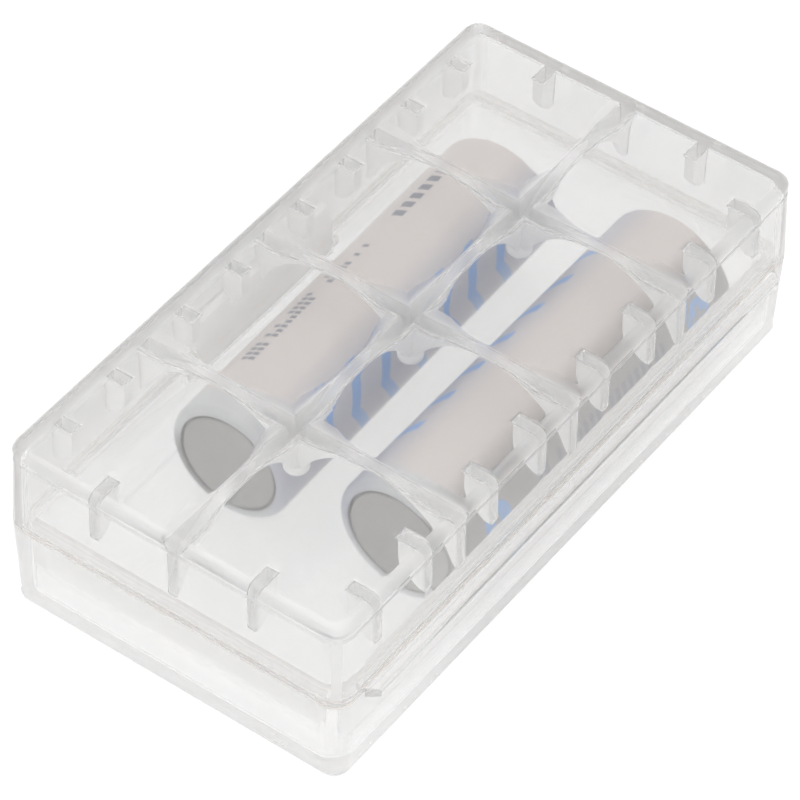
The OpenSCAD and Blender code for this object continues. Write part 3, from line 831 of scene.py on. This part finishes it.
def build_floor():
    """A white floor: mostly its own glow to rays that show it, and plain diffuse to the rest."""
    bpy.ops.mesh.primitive_plane_add(size=6, location=(0, 0, -0.00005))
    floor = bpy.context.object
    floor.name = "floor"
    mat = bpy.data.materials.new("floor")
    mat.use_nodes = True
    nodes, links = mat.node_tree.nodes, mat.node_tree.links
    nodes.clear()
    out, mix = nodes.new("ShaderNodeOutputMaterial"), nodes.new("ShaderNodeMixShader")
    diffuse, glow = nodes.new("ShaderNodeBsdfDiffuse"), nodes.new("ShaderNodeEmission")
    diffuse.inputs["Color"].default_value = (0.92, 0.92, 0.92, 1)
    glow.inputs["Color"].default_value = (1, 1, 1, 1)
    sums, ray = Maths(nodes, links), nodes.new("ShaderNodeLightPath").outputs
    level = sums("MULTIPLY_ADD", ray["Is Camera Ray"], GLOW_SEEN - GLOW_THROUGH, GLOW_THROUGH)
    # A ray that rough plastic has refracted counts as glossy and transmitted, a mirrored one as glossy
    mirrored = sums("GREATER_THAN", ray["Is Glossy Ray"], ray["Is Transmission Ray"])
    level = sums("MULTIPLY_ADD", mirrored, GLOW_MIRRORED - GLOW_THROUGH, level)
    links.new(level, glow.inputs["Strength"])
    shown = sums.any(ray["Is Camera Ray"], ray["Is Glossy Ray"], ray["Is Transmission Ray"])
    # Light that a matt surface has thrown back finds less glow, so that flanks stay darker than tops
    first = sums("LESS_THAN", ray["Diffuse Depth"], 0.5)
    share = sums.all(shown, sums("MULTIPLY_ADD", first, 0.7, 0.3), GLOW_SHARE)
    links.new(share, mix.inputs["Fac"])
    links.new(diffuse.outputs[0], mix.inputs[1])
    links.new(glow.outputs[0], mix.inputs[2])
    links.new(mix.outputs[0], out.inputs["Surface"])
    floor.data.materials.append(mat)


def build_softbox():
    """A wide, weak lamp overhead, so that its mirror image in the lid hides nothing."""
    data = bpy.data.lights.new("softbox", "AREA")
    data.shape, data.size, data.energy = "DISK", 0.9, 0.8
    lamp = bpy.data.objects.new("softbox", data)
    bpy.context.scene.collection.objects.link(lamp)
    place = Vector((0.0, 0.1, 0.8))
    lamp.location = place
    lamp.rotation_mode = "QUATERNION"
    lamp.rotation_quaternion = (-place).to_track_quat("-Z", "Y")


def build_world():
    """A grey surround that brightens overhead."""
    world = bpy.data.worlds.new("studio")
    bpy.context.scene.world = world
    world.use_nodes = True
    nodes, links = world.node_tree.nodes, world.node_tree.links
    background = nodes["Background"]
    coords = nodes.new("ShaderNodeTexCoord").outputs["Generated"]
    split = nodes.new("ShaderNodeSeparateXYZ")
    links.new(coords, split.inputs[0])
    ramp = nodes.new("ShaderNodeValToRGB")
    stops = ramp.color_ramp.elements
    stops[0].position, stops[0].color = 0.0, (0.49, 0.494, 0.498, 1)
    stops[1].position, stops[1].color = 0.78, (0.472, 0.472, 0.472, 1)
    top = stops.new(0.82)
    top.color = (1.0, 0.98, 0.96, 1)
    links.new(split.outputs["Z"], ramp.inputs["Fac"])
    links.new(ramp.outputs["Color"], background.inputs["Color"])
    background.inputs["Strength"].default_value = 1.8


def build_camera():
    """The photograph's camera: 800 by 800 pixels, worked out from the object's outline."""
    azimuth, elevation, roll = (math.radians(a) for a in (-54.909, 46.522, 1.554))
    distance, width = 495.24, 800  # millimetres and pixels
    off_x, off_y, focal = 7.433, 56.42, 4773.5  # pixels
    back = Vector((math.sin(azimuth) * math.cos(elevation), -math.cos(azimuth) * math.cos(elevation),
                   math.sin(elevation)))
    right = (-back).cross(Vector((0, 0, 1))).normalized()
    up = right.cross(-back)
    right, up = (math.cos(roll) * right + math.sin(roll) * up,
                 -math.sin(roll) * right + math.cos(roll) * up)
    place = back * distance - right * (off_x * distance / focal) + up * (off_y * distance / focal)
    data = bpy.data.cameras.new("camera")
    data.sensor_width, data.lens = 36, 36 * focal / width
    data.clip_start, data.clip_end = 0.01, 20
    camera = bpy.data.objects.new("camera", data)
    bpy.context.scene.collection.objects.link(camera)
    camera.matrix_world = Matrix.Translation(place * MM) @ Matrix((right, up, back)).transposed().to_4x4()
    bpy.context.scene.camera = camera


# ---- the model ----

def dress(obj, material):
    obj.data.materials.clear()
    obj.data.materials.append(material)


def main():
    lid = build_lid()
    dress(lid, plastic_material("lid_plastic", True, 140, 27))
    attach(lid, "case_lid")
    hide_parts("lid")
    base = build_base()
    dress(base, plastic_material("base_plastic", False, 120, 5))
    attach(base, "case_base")
    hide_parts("base")

    steel = solid_material("nickel_steel", (0.37, 0.362, 0.355), 0.24, 1.0)
    looks = {
        "can": steel, "terminal": steel, "seal_plate": steel,
        "electrode_roll": solid_material("electrode", (0.05, 0.05, 0.055), 0.7),
        "seal_ring": solid_material("seal", (0.18, 0.18, 0.2), 0.5),
        "vent_plug": solid_material("plug", (0.05, 0.05, 0.05), 0.6),
        "washer": solid_material("washer", (0.8, 0.79, 0.77), 0.8, grain=900),
    }
    for side in CELLS:
        build_cell(side, {**looks, "sleeve": film_material(side)})

    build_floor()
    build_world()
    build_softbox()
    build_camera()
    # Enough bounces for light to cross every wall, and no blur, which would darken the frosted parts
    cycles = bpy.context.scene.cycles
    cycles.max_bounces = 48
    cycles.transmission_bounces = 48
    cycles.glossy_bounces = 48
    cycles.volume_bounces = 24
    cycles.blur_glossy = 0.0
    bpy.context.scene.view_settings.view_transform = "Standard"


main()
